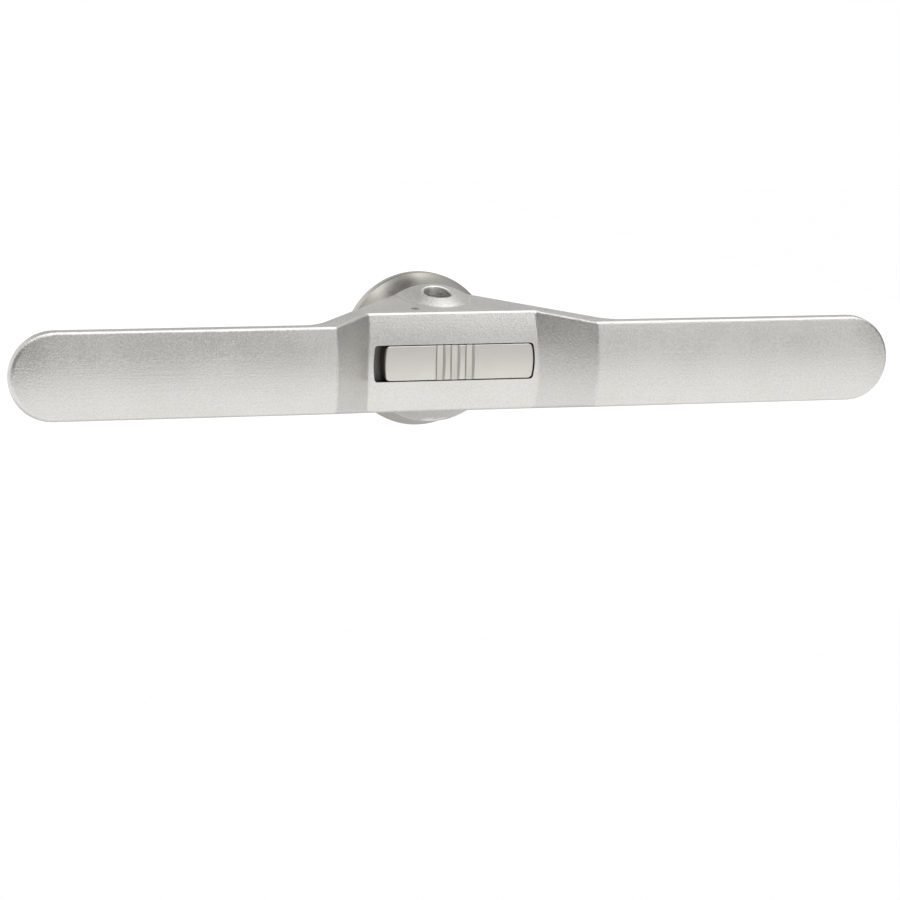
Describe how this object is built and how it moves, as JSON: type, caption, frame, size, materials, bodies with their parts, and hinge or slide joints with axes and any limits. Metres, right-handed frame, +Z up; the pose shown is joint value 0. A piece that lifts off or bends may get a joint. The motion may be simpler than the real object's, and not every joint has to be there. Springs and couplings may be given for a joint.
{
  "type": "padlockable lever handle",
  "caption": "Two-winged stainless lever handle for a cabinet door, with a recessed middle, a thumb slide in a slot, a cross hole for a padlock shackle and a clamped round flange.",
  "frame": {"origin": "centre of the flange where it sits on the door face", "axes": "+X along the right wing of the closed lever, +Y into the door along the spindle, +Z up"},
  "size_m": [0.2018, 0.0631, 0.035],
  "materials": {
    "lever_steel": "satin blasted stainless steel",
    "slide_steel": "fine brushed stainless steel",
    "housing_steel": "turned and polished stainless steel",
    "spindle_steel": "turned stainless steel",
    "pin_steel": "ground steel",
    "ring_steel": "dark spring steel",
    "washer_steel": "stamped stainless steel",
    "nut_steel": "machined stainless steel",
    "glide_plastic": "black acetal",
    "bush_plastic": "dark filled plastic",
    "seal_rubber": "soft black rubber"
  },
  "bodies": {
    "housing": {"housing": "housing_steel", "flange_gasket": "seal_rubber", "glide_ring": "glide_plastic", "bearing_bush": "bush_plastic", "thrust_washer": "washer_steel", "lock_washer": "washer_steel", "clamp_nut": "nut_steel"},
    "lever": {"lever": "lever_steel", "slide_pin": "pin_steel", "detent_ball": "pin_steel", "detent_spring": "pin_steel", "cross_pin": "pin_steel", "spindle": "spindle_steel", "shaft_o_ring": "seal_rubber", "retaining_ring": "ring_steel"},
    "slide": {"slide": "slide_steel"}
  },
  "joints": [
    {"name": "lever_turn", "type": "hinge", "parent": "housing", "child": "lever", "pos_m": [0, 0, 0], "axis": [0, 1, 0], "range_deg": [0, 90]},
    {"name": "slide_lock", "type": "slide", "parent": "lever", "child": "slide", "axis": [1, 0, 0], "range_m": [-0.0024, 0]}
  ]
}
